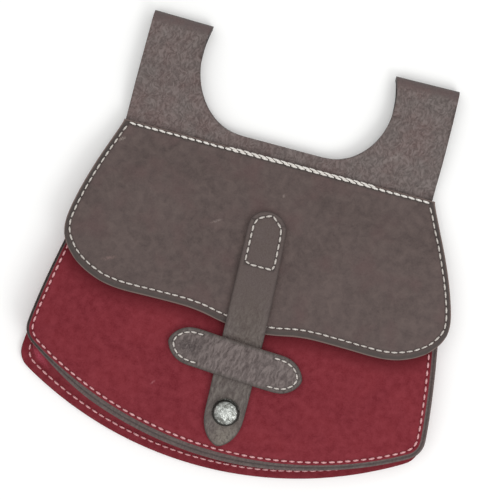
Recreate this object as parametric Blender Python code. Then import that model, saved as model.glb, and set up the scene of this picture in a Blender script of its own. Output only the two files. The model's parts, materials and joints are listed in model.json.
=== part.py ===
"""Medieval belt pouch of red suede and brown leather, lying on its back.

Metres, +Z up, +Y towards the belt loops, +X to the right as the front is seen.
All pieces are set out from the middle of the seam that joins flap, yoke and back
panel; at the end one empty carries them so that the middle of the whole footprint
stands on the origin.

A piece's own coordinates are (across, along): across from its middle line, along
from the seam, below it negative. Each group of pieces lies a little askew, as soft
goods do, and its row in LIES says how.
"""

import math
from collections import namedtuple

import bmesh
import bpy
from mathutils import Matrix, Vector

# Materials' thickness and the small gap kept between pieces
SUEDE = 0.0014
LEATHER = 0.0020
WELT = 0.0022
GAP = 0.0003

# Chain of lengths from the seam down the front
STRAP_TOP = 0.0264
FLAP_DROP = 0.0904
KEEPER_GAP = 0.0060
KEEPER_WIDTH = 0.0196
STUD_GAP = 0.0098
STUD_RADIUS = 0.0075
TIP_REACH = 0.0114
FOOT_GAP = 0.0016
BACK_SAG = 0.0090
MOUTH_DROP = 0.0240

# Outline of the pouch body at its stitch line
MOUTH_HALF = 0.0873
FOOT_HALF = 0.1058
SIDE_BULGE = 0.0024
FOOT_RADIUS = 0.200
CORNER_RADIUS = 0.0070
BACK_TOP_HALF = 0.0795

# Seam allowances, measured outwards from the stitch line
PANEL_EDGE = 0.0016
WELT_EDGE = 0.0044
FLANGE_EDGE = 0.0039
BACK_EDGE = 0.0044
WELT_INNER = 0.0035
WALL_INNER = 0.0040

# Depth of the body
DEPTH = 0.0240
MOUTH_OPEN = 0.0018
MOUTH_CROWN = 0.0012
SIDE_DROP = 0.0050
FOOT_DROP = 0.0050
SIDE_REACH = 0.040
FOOT_REACH = 0.032
WALL_BULGE = 0.0025
FOLD_RADIUS = 0.0016

# Yoke with its two belt loops
YOKE_HALF = 0.0843
YOKE_RISE = 0.0616
YOKE_LAP = 0.0037
LEG_LAP = 0.0045
LOOP_ROOM = 0.0049
LOOP_SETTLE = 0.020
CUT_HALF = 0.0531
CUT_FLOOR = 0.0088
CUT_WIDE = 0.0295
CUT_HIGH = 0.0365
CUT_FLARE = 0.0026
FLARE_REACH = 0.0120

# Flap
FLAP_LAP = 0.0013
FLAP_WING = 0.1053

# Strap, keeper and stud
STRAP_WIDTH = 0.0202
STRAP_SPREAD = 0.0012
STRAP_STEP = 0.0055
STRAP_HEAD = 0.0090
STRAP_POINT = 0.0160
KEEPER_LENGTH = 0.0728
KEEPER_POINT = 0.0120
KEEPER_RAMP = 0.0085
ROUND_END = 2.0
POINTED_END = 1.6
STUD_RISE = 0.0040
STUD_ASIDE = 0.0004
SHANK_RADIUS = 0.0015

# How each group lies: moved across and along, how far its right side climbs for each
# metre across (slope), how far it moves right for each metre up (lean) and how far it
# bends right half way down to the strap's tip (bow)
Lie = namedtuple("Lie", "across along slope lean bow")
LIES = {
    "back": Lie(0.0027, -BACK_SAG, 0.009, 0.0, 0.0),
    "front": Lie(0.0046, 0.0, -0.0335, 0.015, 0.0),
    "flap": Lie(0.0005, 0.0, 0.0, -0.070, 0.0),
    "strap": Lie(0.0015, 0.0, 0.0, -0.0365, 0.0009),
    "keeper": Lie(0.0103, 0.0, -0.051, 0.051, 0.0),
}

# How each belt loop's fold lies: moved inwards, lowered, its outer end raised for each metre
# across (tilt) and its inner edge moved outwards; all of it fades to nothing at the seam
LoopLie = namedtuple("LoopLie", "side inward drop tilt inner")
LEFT_LOOP = LoopLie(-1, 0.0002, 0.0, 0.020, 0.0013)
RIGHT_LOOP = LoopLie(1, 0.0009, 0.0004, 0.020, -0.0013)

# Reach of the welt past the stitch line, as shares of the line's length and of WELT_EDGE
WeltPoint = namedtuple("WeltPoint", "name place reach")
WELT_REACH = [
    WeltPoint("left mouth", 0.00, 0.75),
    WeltPoint("left side", 0.24, 0.75),
    WeltPoint("left foot", 0.35, 1.40),
    WeltPoint("middle of foot", 0.50, 1.40),
    WeltPoint("right foot", 0.68, 1.05),
    WeltPoint("right mouth", 1.00, 1.05),
]

# Half outline of the flap: shares of FLAP_WING across and of FLAP_DROP down
FlapPoint = namedtuple("FlapPoint", "name across down")
FLAP_SIDE = [
    FlapPoint("seam corner", 0.810, 0.000),
    FlapPoint("upper side", 0.893, 0.236),
    FlapPoint("lower side", 0.963, 0.470),
    FlapPoint("wing", 1.000, 0.670),
    FlapPoint("wing round", 0.975, 0.770),
    FlapPoint("wing turn", 0.905, 0.860),
]
FLAP_FOOT = [
    FlapPoint("wing turn", 0.905, 0.860),
    FlapPoint("wing underside", 0.800, 0.923),
    FlapPoint("outer hem", 0.680, 0.951),
    FlapPoint("hem", 0.500, 0.948),
    FlapPoint("inner hem", 0.280, 0.949),
    FlapPoint("tip shoulder", 0.145, 0.979),
    FlapPoint("tip", 0.000, 1.000),
]

# Facets
SIDE_STEPS = 12
CORNER_STEPS = 4
FOOT_STEPS = 11
TOP_STEPS = 4
FLAP_ROWS = 12
FLAP_COLUMNS = 24
LOOP_COLUMNS = 4
CUT_COLUMNS = 8
LAP_ROWS = 3
LOOP_ROWS = 11
LOOP_TURN_ROWS = 6
LEG_ROWS = 9
STRIP_COLUMNS = 4
ROUND_STEPS = 16
CURVE_PARTS = 24

# Worked out from the sizes above
KEEPER_MIDDLE = -(FLAP_DROP + KEEPER_GAP + KEEPER_WIDTH / 2)
STUD_MIDDLE = -(FLAP_DROP + KEEPER_GAP + KEEPER_WIDTH + STUD_GAP + STUD_RADIUS)
STRAP_TIP = STUD_MIDDLE - STUD_RADIUS - TIP_REACH
FOOT = STRAP_TIP - FOOT_GAP
FOOT_CORNER = FOOT + FOOT_RADIUS - math.sqrt(FOOT_RADIUS ** 2 - FOOT_HALF ** 2)
SEAM_STACK = 2 * LEATHER + SUEDE + 3 * GAP
EDGE_STACK = 2 * SUEDE + WELT + 2 * GAP
MOUTH_RIM = 2 * SUEDE + GAP + MOUTH_OPEN + EDGE_STACK
BACK_MOUTH = BACK_SAG - MOUTH_DROP


def clamp(value):
    return min(max(value, 0.0), 1.0)


def ease(share):
    """Goes from 0 to 1 with level ends."""
    share = clamp(share)
    return share * share * (3 - 2 * share)


def mix(first, second, share):
    return first + (second - first) * share


def bend(lie, up):
    """How far a group's bow moves it right at a height under the seam."""
    return lie.bow * math.sin(math.pi * clamp(up / STRAP_TIP))


def lay(group, across, along):
    """Own coordinates of a group to the common plane."""
    lie = LIES[group]
    up = along + lie.slope * across
    return Vector((lie.across + across + lie.lean * along + bend(lie, up), lie.along + up))


def unlay(group, x, y):
    """The common plane back to a group's own coordinates."""
    lie = LIES[group]
    up = y - lie.along
    right = x - lie.across - bend(lie, up)
    scale = 1 - lie.slope * lie.lean
    return (right - lie.lean * up) / scale, (up - lie.slope * right) / scale


# Outline of the body

def side_half(along):
    """Half width of the stitch line at a height between mouth and foot corner."""
    share = (-MOUTH_DROP - along) / (-MOUTH_DROP - FOOT_CORNER)
    kept = clamp(share)
    return mix(MOUTH_HALF, FOOT_HALF, min(share, 1.0)) + SIDE_BULGE * 4 * kept * (1 - kept)


def foot_line(across):
    """Height of the curved foot's stitch line."""
    reach = min(abs(across), 0.8 * FOOT_RADIUS)
    return FOOT + FOOT_RADIUS - math.sqrt(FOOT_RADIUS ** 2 - reach ** 2)


def half_outline(mouth):
    """Right half of the stitch line, from the mouth down and round to the middle of the foot."""
    corner = Vector((FOOT_HALF, FOOT_CORNER))
    near = 0.001
    up = (Vector((side_half(FOOT_CORNER + near), FOOT_CORNER + near)) - corner).normalized()
    inward = (Vector((FOOT_HALF - near, foot_line(FOOT_HALF - near))) - corner).normalized()
    half_angle = up.angle(inward) / 2
    cut = CORNER_RADIUS / math.tan(half_angle)
    start, end = corner + up * cut, corner + inward * cut
    middle = corner + (up + inward).normalized() * CORNER_RADIUS / math.sin(half_angle)
    points = []
    for step in range(SIDE_STEPS):
        along = mix(mouth, start.y, step / SIDE_STEPS)
        points.append(Vector((side_half(along), along)))
    sweep = (start - middle).angle_signed(end - middle)
    for step in range(CORNER_STEPS + 1):
        turn = Matrix.Rotation(-sweep * step / CORNER_STEPS, 2)
        points.append(middle + turn @ (start - middle))
    for step in range(1, FOOT_STEPS + 1):
        across = mix(end.x, 0.0, step / FOOT_STEPS)
        points.append(Vector((across, foot_line(across))))
    return points


def welt_reach(place):
    """Share of the welt's edge at a share of the stitch line's length."""
    for first, second in zip(WELT_REACH, WELT_REACH[1:]):
        if place <= second.place:
            part = (place - first.place) / (second.place - first.place)
            return mix(first.reach, second.reach, ease(part))
    return WELT_REACH[-1].reach


def body_outline(offset, mouth=-MOUTH_DROP, uneven=False):
    """The whole U-shaped line, left mouth corner to right mouth corner, moved outwards."""
    right = half_outline(mouth)
    line = [Vector((-p.x, p.y)) for p in right] + right[-2::-1]
    total = sum((second - first).length for first, second in zip(line, line[1:]))
    moved = []
    gone = 0.0
    for index, point in enumerate(line):
        before = line[max(index - 1, 0)]
        after = line[min(index + 1, len(line) - 1)]
        gone += (point - before).length
        run = (after - before).normalized()
        reach = welt_reach(gone / total) if uneven else 1.0
        moved.append(point + Vector((run.y, -run.x)) * offset * reach)
    return moved


# Heights

def roll(share):
    """How far a crowned face has turned down, 0 in the middle and 1 at its stitch line."""
    return max(1 - share, 0.0) ** 2.4


def front_top(x, y):
    """Height of the front panel's upper face."""
    across, along = unlay("front", x, y)
    share = (-MOUTH_DROP - along) / (-MOUTH_DROP - FOOT)
    mouth = MOUTH_RIM + MOUTH_CROWN
    ridge = mouth + (DEPTH - mouth) * math.sin(math.pi / 2 * max(min(share / 0.75, 1.0), -1.0))
    side = mix(MOUTH_CROWN, SIDE_DROP, clamp(share / 0.45))
    side *= roll((side_half(along) - abs(across)) / SIDE_REACH)
    foot = FOOT_DROP * roll((along - foot_line(across)) / FOOT_REACH)
    return ridge - (side ** 3 + foot ** 3) ** (1 / 3)


def back_under(x, y):
    """Height of the back panel's lower face: flat, but lifted over the loops' legs."""
    lift = LEATHER + GAP
    return lift * ease((y + LEG_LAP + 0.0115) / 0.010)


def flap_under(x, y):
    """Height of the flap's lower face: level on the seam, then down the crowned front."""
    _, along = unlay("front", x, y)
    start = YOKE_LAP + 0.001
    share = ease((-along - start) / (MOUTH_DROP - 0.001 - start))
    return mix(SEAM_STACK, front_top(x, y) + GAP, share)


def strap_under(x, y):
    """Height of the strap's lower face: on the flap, and past its hem on the front panel."""
    past = -(FLAP_DROP + 0.0008) - y
    on_flap = flap_under(x, y) + LEATHER + GAP
    on_front = front_top(x, y) + GAP
    return mix(on_flap, on_front, ease(past / STRAP_STEP))


def keeper_under(x, y):
    """Height of the keeper's lower face: on the front panel, arched over the strap."""
    across, _ = unlay("strap", x, y)
    clear = (STRAP_WIDTH + STRAP_SPREAD) / 2 + 0.0012
    arch = (LEATHER + GAP) * (1 - ease((abs(across) - clear) / KEEPER_RAMP))
    return front_top(x, y) + GAP + arch


# Shapes

def curve_through(points, steps):
    """Evenly spaced points on a smooth curve through the given ones."""
    fine = []
    ends = [points[0] * 2 - points[1]] + points + [points[-1] * 2 - points[-2]]
    for index in range(1, len(ends) - 2):
        a, b, c, d = ends[index - 1:index + 3]
        for part in range(CURVE_PARTS):
            t = part / CURVE_PARTS
            fine.append(0.5 * (2 * b + (c - a) * t + (2 * a - 5 * b + 4 * c - d) * t ** 2
                               + (3 * b - a - 3 * c + d) * t ** 3))
    fine.append(points[-1])
    lengths = [0.0]
    for first, second in zip(fine, fine[1:]):
        lengths.append(lengths[-1] + (second - first).length)
    chosen, index = [], 0
    for step in range(steps + 1):
        goal = lengths[-1] * step / steps
        while index < len(fine) - 2 and lengths[index + 1] < goal:
            index += 1
        run = lengths[index + 1] - lengths[index]
        chosen.append(mix(fine[index], fine[index + 1], (goal - lengths[index]) / run))
    return chosen


def patch(left, right, top, bottom):
    """Rows of points that fill the space between four edges."""
    rows, columns = len(left) - 1, len(top) - 1
    filled = []
    for j in range(rows + 1):
        t = j / rows
        row = []
        for i in range(columns + 1):
            s = i / columns
            between = mix(top[i], bottom[i], t) + mix(left[j], right[j], s)
            corners = mix(mix(top[0], top[-1], s), mix(bottom[0], bottom[-1], s), t)
            row.append(between - corners)
        filled.append(row)
    return filled


def straight(first, second, steps):
    return [mix(first, second, step / steps) for step in range(steps + 1)]


def grid_mesh(name, table, keep=None):
    """A one-sided mesh with a vertex at each place of a table of rows of points."""
    rows, columns = len(table) - 1, len(table[0]) - 1
    bm = bmesh.new()
    bmesh.ops.create_grid(bm, x_segments=columns, y_segments=rows, size=0.5)
    bm.verts.ensure_lookup_table()
    low = min(v.co.x for v in bm.verts), min(v.co.y for v in bm.verts)
    span = max(v.co.x for v in bm.verts) - low[0], max(v.co.y for v in bm.verts) - low[1]
    places = {}
    for vert in bm.verts:
        column = round((vert.co.x - low[0]) / span[0] * columns)
        row = rows - round((vert.co.y - low[1]) / span[1] * rows)
        places[vert] = (row, column)
    if keep:
        gone = [f for f in bm.faces
                if not keep(min(places[v][0] for v in f.verts), min(places[v][1] for v in f.verts))]
        bmesh.ops.delete(bm, geom=gone, context="FACES")
    for vert in bm.verts:
        row, column = places[vert]
        vert.co = table[row][column]
    mesh = bpy.data.meshes.new(name)
    return bm, mesh


def srgb(code):
    """Linear colour of an sRGB hex code."""
    parts = [int(code[i:i + 2], 16) / 255 for i in (0, 2, 4)]
    return [p / 12.92 if p <= 0.04045 else ((p + 0.055) / 1.055) ** 2.4 for p in parts] + [1.0]


def material(name, code, roughness, metallic=0.0):
    made = bpy.data.materials.new(name)
    made.use_nodes = True
    shader = made.node_tree.nodes["Principled BSDF"]
    shader.inputs["Base Color"].default_value = srgb(code)
    shader.inputs["Roughness"].default_value = roughness
    shader.inputs["Metallic"].default_value = metallic
    return made


def place_object(name, mesh, made):
    thing = bpy.data.objects.new(name, mesh)
    bpy.context.scene.collection.objects.link(thing)
    mesh.materials.append(made)
    mesh.shade_smooth()
    mesh.set_sharp_from_angle(angle=math.radians(40))
    return thing


def laid_sheet(name, table, thickness, made):
    """A leather wall whose lower face is the table and whose upper face lies straight above."""
    bm, mesh = grid_mesh(name, table)
    bmesh.ops.recalc_face_normals(bm, faces=bm.faces)
    lower = list(bm.faces)
    raised = bmesh.ops.extrude_face_region(bm, geom=lower, use_keep_orig=True)["geom"]
    upper = [part for part in raised if isinstance(part, bmesh.types.BMVert)]
    bmesh.ops.translate(bm, verts=upper, vec=(0, 0, thickness))
    bmesh.ops.recalc_face_normals(bm, faces=bm.faces)
    bm.to_mesh(mesh)
    bm.free()
    return place_object(name, mesh, made)


def folded_sheet(name, table, thickness, made, keep=None):
    """A leather wall that folds over, its table the middle of its thickness."""
    bm, mesh = grid_mesh(name, table, keep)
    bmesh.ops.recalc_face_normals(bm, faces=bm.faces)
    bm.to_mesh(mesh)
    bm.free()
    thing = place_object(name, mesh, made)
    wall = thing.modifiers.new("wall", "SOLIDIFY")
    wall.thickness = thickness
    wall.offset = 0.0
    return thing


def raise_rows(rows, group, height):
    """Flat rows in a group's own coordinates, laid in place at the heights that a function gives."""
    table = []
    for row in rows:
        laid = [lay(group, point.x, point.y) for point in row]
        table.append([Vector((p.x, p.y, height(p.x, p.y))) for p in laid])
    return table


# Pieces

def panel_rows(edge, mouth=-MOUTH_DROP, top_corner=None):
    """Rows of points that fill the body's outline, with a straight top edge."""
    line = body_outline(edge, mouth)
    turn = SIDE_STEPS + CORNER_STEPS // 2
    left, bottom, right = line[:turn + 1], line[turn:-turn], line[-turn - 1:][::-1]
    if top_corner:
        left = straight(Vector((-top_corner.x, top_corner.y)), left[0], TOP_STEPS) + left[1:]
        right = straight(top_corner, right[0], TOP_STEPS) + right[1:]
    top = straight(left[0], right[0], len(bottom) - 1)
    return patch(left, right, top, bottom)


def make_back_panel(made):
    lie = LIES["back"]
    top_corner = Vector((BACK_TOP_HALF, YOKE_LAP - lie.along))
    rows = panel_rows(BACK_EDGE, BACK_MOUTH, top_corner)
    return laid_sheet("back_panel", raise_rows(rows, "back", back_under), SUEDE, made)


def make_front_panel(made):
    def under(x, y):
        return front_top(x, y) - SUEDE
    return laid_sheet("front_panel", raise_rows(panel_rows(PANEL_EDGE), "front", under), SUEDE, made)


def make_front_welt(made):
    def under(x, y):
        return front_top(x, y) - SUEDE - GAP - WELT
    rows = [body_outline(-WELT_INNER), body_outline(0.0), body_outline(WELT_EDGE, uneven=True)]
    return laid_sheet("front_welt", raise_rows(rows, "front", under), WELT, made)


def make_gusset(made):
    """A channel: flange under the welt, fold, bulging wall, fold, flange on the back panel."""
    def front_level(x, y):
        return front_top(x, y) - EDGE_STACK - SUEDE / 2 + SUEDE

    def back_level(x, y):
        return SUEDE + GAP + SUEDE / 2

    inner = -WALL_INNER + FOLD_RADIUS
    flange = [body_outline(FLANGE_EDGE, uneven=True), body_outline(0.0), body_outline(inner)]
    front = raise_rows(flange, "front", front_level)
    flange = [body_outline(edge, BACK_MOUTH) for edge in (FLANGE_EDGE, 0.0, inner)]
    back = raise_rows(flange, "back", back_level)
    front_root = raise_rows([body_outline(-WALL_INNER)], "front", front_level)[0]
    back_root = raise_rows([body_outline(-WALL_INNER, BACK_MOUTH)], "back", back_level)[0]
    wall = []
    for share in (0.0, 0.25, 0.5, 0.75, 1.0):
        row = []
        for index, (high, low) in enumerate(zip(front_root, back_root)):
            height = high.z - low.z
            radius = min(FOLD_RADIUS, 0.35 * height)
            top, foot = high - Vector((0, 0, radius)), low + Vector((0, 0, radius))
            outward = (front[0][index] - high).to_2d().normalized().to_3d()
            swell = min(WALL_BULGE, 0.25 * height) * math.sin(math.pi * share)
            row.append(mix(top, foot, share) + outward * swell)
        wall.append(row)
    table = front + wall + back[::-1]
    return folded_sheet("gusset", table, SUEDE, made)


def flare(along):
    """How far a loop's inner edge turns in near its fold."""
    return CUT_FLARE * clamp((along - YOKE_RISE + FLARE_REACH) / FLARE_REACH) ** 1.5


def cut_edge(down):
    """Inner edge of a loop's front layer: share 0 at the fold, 1 at the cut-out's flat floor."""
    round_top = CUT_FLOOR + CUT_HIGH
    top = YOKE_RISE - (LOOP_ROOM + 2 * LEATHER) / 2
    run = top - round_top
    quarter = (CUT_WIDE + CUT_HIGH) / 2 * math.pi / 2
    gone = down * (run + quarter)
    if gone < run:
        return Vector((CUT_HALF - flare(top - gone), top - gone))
    turn = (gone - run) / quarter * math.pi / 2
    return Vector((CUT_HALF - CUT_WIDE + CUT_WIDE * math.cos(turn),
                   round_top - CUT_HIGH * math.sin(turn)))


def yoke_level(along):
    """Height of the middle of the yoke's front layer."""
    seam = 1.5 * LEATHER + SUEDE + 2 * GAP
    loop = 1.5 * LEATHER + LOOP_ROOM
    return mix(seam, loop, ease((along - YOKE_LAP - 0.0015) / LOOP_SETTLE))


def loop_rows():
    """Rows of the right loop, inner edge to outer edge, from the lap up, over and down the back."""
    rows = []
    inner_foot = CUT_HALF - CUT_WIDE
    for step in range(LAP_ROWS):
        along = mix(-YOKE_LAP, CUT_FLOOR, step / LAP_ROWS)
        rows.append((Vector((inner_foot, along, yoke_level(along))),
                     Vector((YOKE_HALF, along, yoke_level(along)))))
    turn_radius = (LOOP_ROOM + LEATHER) / 2
    turn_along = YOKE_RISE - turn_radius - LEATHER / 2
    for step in range(LOOP_ROWS + 1):
        inner = cut_edge(1 - step / LOOP_ROWS)
        outer_along = mix(CUT_FLOOR, turn_along, step / LOOP_ROWS)
        rows.append((Vector((inner.x, inner.y, yoke_level(inner.y))),
                     Vector((YOKE_HALF, outer_along, yoke_level(outer_along)))))
    for step in range(1, LOOP_TURN_ROWS + 1):
        angle = math.pi * step / LOOP_TURN_ROWS
        along = turn_along + turn_radius * math.sin(angle)
        level = LEATHER / 2 + turn_radius * (1 + math.cos(angle))
        inner = CUT_HALF - flare(along)
        rows.append((Vector((inner, along, level)), Vector((YOKE_HALF, along, level))))
    for step in range(1, LEG_ROWS + 1):
        along = mix(turn_along, -LEG_LAP, step / LEG_ROWS)
        inner = CUT_HALF - flare(along)
        rows.append((Vector((inner, along, LEATHER / 2)), Vector((YOKE_HALF, along, LEATHER / 2))))
    return rows


def lie_loop(point, lie):
    """A point of the right loop, moved the way a loop's fold lies and put on its side."""
    up = clamp(point.y / YOKE_RISE)
    width = YOKE_HALF - CUT_HALF
    out = clamp((point.x - CUT_HALF) / width)
    across = point.x - lie.inward * up ** 3 + lie.inner * (1 - out) * up ** 2
    along = point.y + (lie.tilt * (out - 0.5) * width - lie.drop) * up ** 2
    return Vector((lie.side * across, along, point.z))


def make_yoke(made):
    table = []
    for inner, outer in loop_rows():
        across = straight(inner, outer, LOOP_COLUMNS)
        right = [lie_loop(point, RIGHT_LOOP) for point in across]
        left = [lie_loop(point, LEFT_LOOP) for point in across[::-1]]
        middle = straight(left[-1], right[0], CUT_COLUMNS)
        table.append(left + middle[1:-1] + right)

    def keep(row, column):
        return row < LAP_ROWS or not LOOP_COLUMNS <= column < LOOP_COLUMNS + CUT_COLUMNS
    return folded_sheet("yoke", table, LEATHER, made, keep)


def make_flap(made):
    def half(points, steps, side):
        own = [Vector((side * p.across * FLAP_WING, -p.down * FLAP_DROP)) for p in points]
        return curve_through(own, steps)

    corner = FLAP_SIDE[0].across * FLAP_WING
    right = [Vector((corner, FLAP_LAP))] + half(FLAP_SIDE, FLAP_ROWS - 1, 1)
    left = [Vector((-p.x, p.y)) for p in right]
    foot = half(FLAP_FOOT, FLAP_COLUMNS // 2, 1)
    bottom = [Vector((-p.x, p.y)) for p in foot] + foot[-2::-1]
    top = straight(left[0], right[0], FLAP_COLUMNS)
    rows = patch(left, right, top, bottom)
    return laid_sheet("flap", raise_rows(rows, "flap", flap_under), LEATHER, made)


def strip_half(distance, point, half, power=ROUND_END):
    """Half width of a strip at a distance from its end, which is round or drawn to a point."""
    share = clamp(distance / point)
    return half * (1 - (1 - share) ** 2) ** (1 / power)


def strap_stops():
    """Places along the strap, closer together at its ends and over the flap's hem."""
    length = -STRAP_TOP - STRAP_TIP
    head, point = STRAP_HEAD / length, STRAP_POINT / length
    hem = (FLAP_DROP + 0.0008 - STRAP_TOP) / length
    step = STRAP_STEP / length
    stops = [head * (1 - math.cos(math.pi / 2 * (n + 0.5) / 4.5)) for n in range(5)]
    stops += [mix(head, hem, n / 7) for n in range(1, 7)]
    stops += [hem + step * n / 4 for n in range(5)]
    stops += [mix(hem + step, 1 - point, n / 6) for n in range(1, 6)]
    stops += [1 - point * (1 - math.sin(math.pi / 2 * n / 6.5)) for n in range(7)]
    return stops


def make_strap(made):
    length = -STRAP_TOP - STRAP_TIP
    rows = []
    for share in strap_stops():
        gone = share * length
        wide = (STRAP_WIDTH + STRAP_SPREAD * math.sin(math.pi * share)) / 2
        half = min(strip_half(gone, STRAP_HEAD, wide),
                   strip_half(length - gone, STRAP_POINT, wide, POINTED_END))
        along = -STRAP_TOP - gone
        rows.append(straight(Vector((-half, along)), Vector((half, along)), STRIP_COLUMNS))
    strap = laid_sheet("strap", raise_rows(rows, "strap", strap_under), LEATHER, made)
    hole = round_bar("shank_hole", SHANK_RADIUS + GAP, 6 * LEATHER)
    hole.matrix_world = stud_place() @ Matrix.Translation((0, 0, -3 * LEATHER))
    hole.hide_render = True
    hole.display_type = "WIRE"
    cut = strap.modifiers.new("shank hole", "BOOLEAN")
    cut.operation = "DIFFERENCE"
    cut.object = hole
    return strap, hole


def make_keeper(made):
    half_length = KEEPER_LENGTH / 2
    stops = [-half_length + KEEPER_POINT * (1 - math.cos(math.pi / 2 * (n + 0.5) / 4.5))
             for n in range(5)]
    inner = half_length - KEEPER_POINT
    stops += [mix(-inner, inner, n / 14) for n in range(1, 14)]
    stops += [-stop for stop in stops[4::-1]]
    columns = []
    for stop in stops:
        half = strip_half(half_length - abs(stop), KEEPER_POINT, KEEPER_WIDTH / 2, POINTED_END)
        columns.append(straight(Vector((stop, KEEPER_MIDDLE - half)),
                                Vector((stop, KEEPER_MIDDLE + half)), STRIP_COLUMNS))
    return laid_sheet("keeper", raise_rows(columns, "keeper", keeper_under), LEATHER, made)


def round_bar(name, radius, length):
    """A round bar on +Z with its lower end at the origin."""
    bm = bmesh.new()
    bmesh.ops.create_circle(bm, cap_ends=True, radius=radius, segments=ROUND_STEPS)
    end = bmesh.ops.extrude_face_region(bm, geom=list(bm.faces), use_keep_orig=True)["geom"]
    top = [part for part in end if isinstance(part, bmesh.types.BMVert)]
    bmesh.ops.translate(bm, verts=top, vec=(0, 0, length))
    bmesh.ops.recalc_face_normals(bm, faces=bm.faces)
    mesh = bpy.data.meshes.new(name)
    bm.to_mesh(mesh)
    bm.free()
    thing = bpy.data.objects.new(name, mesh)
    bpy.context.scene.collection.objects.link(thing)
    return thing


def stud_place():
    """Frame of the stud: on the strap's lower face, square to it."""
    spot = lay("strap", STUD_ASIDE, STUD_MIDDLE)
    reach = STUD_RADIUS * 0.7
    run_x = strap_under(spot.x + reach, spot.y) - strap_under(spot.x - reach, spot.y)
    run_y = strap_under(spot.x, spot.y + reach) - strap_under(spot.x, spot.y - reach)
    normal = Vector((-run_x, -run_y, 2 * reach)).normalized()
    turn = normal.to_track_quat("Z", "Y").to_matrix().to_4x4()
    low = Vector((spot.x, spot.y, strap_under(spot.x, spot.y)))
    return Matrix.Translation(low) @ turn


def make_stud(made):
    """Turned profile of dome and shank, square to the strap."""
    base = LEATHER + GAP
    profile = [(0.0, 0.0), (SHANK_RADIUS, 0.0), (SHANK_RADIUS, base), (STUD_RADIUS, base),
               (STUD_RADIUS, base + 0.15 * STUD_RISE), (0.88 * STUD_RADIUS, base + 0.55 * STUD_RISE),
               (0.58 * STUD_RADIUS, base + 0.88 * STUD_RISE), (0.25 * STUD_RADIUS, base + STUD_RISE),
               (0.0, base + STUD_RISE)]
    bm = bmesh.new()
    verts = [bm.verts.new((radius, 0, height)) for radius, height in profile]
    edges = [bm.edges.new(pair) for pair in zip(verts, verts[1:])]
    bmesh.ops.spin(bm, geom=verts + edges, cent=(0, 0, 0), axis=(0, 0, 1),
                   angle=math.tau, steps=ROUND_STEPS, use_merge=True)
    bmesh.ops.remove_doubles(bm, verts=bm.verts, dist=0.00001)
    bmesh.ops.recalc_face_normals(bm, faces=bm.faces)
    mesh = bpy.data.meshes.new("stud")
    bm.to_mesh(mesh)
    bm.free()
    stud = place_object("stud", mesh, made)
    stud.matrix_world = stud_place()
    return stud


def stand_on_origin(pieces, helpers):
    """Carries everything on one empty, the middle of the footprint at the origin."""
    bpy.context.view_layer.update()
    seen = bpy.context.evaluated_depsgraph_get()
    corners = []
    for piece in pieces:
        ready = piece.evaluated_get(seen)
        mesh = ready.to_mesh()
        corners += [ready.matrix_world @ vert.co for vert in mesh.vertices]
        ready.to_mesh_clear()
    middle = [(min(c[axis] for c in corners) + max(c[axis] for c in corners)) / 2 for axis in (0, 1)]
    pouch = bpy.data.objects.new("pouch", None)
    bpy.context.scene.collection.objects.link(pouch)
    for thing in pieces + helpers:
        thing.parent = pouch
    pouch.location = (-middle[0], -middle[1], -min(c.z for c in corners))


def main():
    for thing in list(bpy.data.objects):
        bpy.data.objects.remove(thing, do_unlink=True)
    red = material("red_suede", "7A2E35", 0.95)
    smooth = material("brown_nubuck", "5F514E", 0.80)
    grained = material("brown_grained_leather", "6B5F5B", 0.70)
    silver = material("hammered_silver", "C8CEC9", 0.25, 1.0)
    strap, hole = make_strap(grained)
    pieces = [make_back_panel(red), make_gusset(red), make_front_welt(grained),
              make_front_panel(red), make_yoke(grained), make_flap(smooth), strap,
              make_keeper(grained), make_stud(silver)]
    stand_on_origin(pieces, [hole])


main()
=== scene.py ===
# %% [markdown]
# # A medieval belt pouch of red suede and brown leather
# The pouch is cut from flat leather and sewn by hand. A red suede body with a folded gusset hangs
# from a brown yoke with two belt loops. A smooth brown flap closes it with a strap, a keeper and
# a hammered stud. The construction is loaded as a fixed frame, and this file dresses it: every
# sheet gets its soft form, its grain, its cut edge and its stitches.

# %% Load the frame
import json
import math
import random

import bmesh
import bpy
import numpy as np
from mathutils import Matrix, Vector
from mathutils.bvhtree import BVHTree
from mathutils.kdtree import KDTree

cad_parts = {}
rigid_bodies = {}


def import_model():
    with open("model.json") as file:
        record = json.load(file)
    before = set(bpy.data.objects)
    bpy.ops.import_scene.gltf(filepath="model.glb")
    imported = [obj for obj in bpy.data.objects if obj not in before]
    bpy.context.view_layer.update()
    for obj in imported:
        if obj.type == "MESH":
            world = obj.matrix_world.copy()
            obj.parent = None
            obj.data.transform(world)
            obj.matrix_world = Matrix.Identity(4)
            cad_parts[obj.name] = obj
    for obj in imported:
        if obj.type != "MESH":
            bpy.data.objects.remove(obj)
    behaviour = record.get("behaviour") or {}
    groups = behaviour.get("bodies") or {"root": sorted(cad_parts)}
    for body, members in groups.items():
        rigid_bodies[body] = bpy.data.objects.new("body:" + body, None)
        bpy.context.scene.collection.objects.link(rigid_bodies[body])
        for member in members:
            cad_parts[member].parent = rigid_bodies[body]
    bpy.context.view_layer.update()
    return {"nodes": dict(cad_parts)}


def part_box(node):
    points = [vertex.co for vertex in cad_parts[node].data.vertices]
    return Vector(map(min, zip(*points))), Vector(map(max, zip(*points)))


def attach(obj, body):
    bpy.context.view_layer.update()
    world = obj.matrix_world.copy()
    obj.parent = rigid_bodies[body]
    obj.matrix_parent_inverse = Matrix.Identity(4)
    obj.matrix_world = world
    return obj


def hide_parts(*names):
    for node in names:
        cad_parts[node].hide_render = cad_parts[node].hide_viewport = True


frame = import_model()
MM = 0.001
BODY = "root"

# %% [markdown]
# ## Camera, floor and light
# The photograph looks straight down on the pouch, which lies turned by 15 degrees. The frame
# keeps the seam level, so the camera is turned instead. One pixel of the picture is 0.535 mm on
# the floor, and that fixes the lens once the camera's height is chosen.

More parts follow.
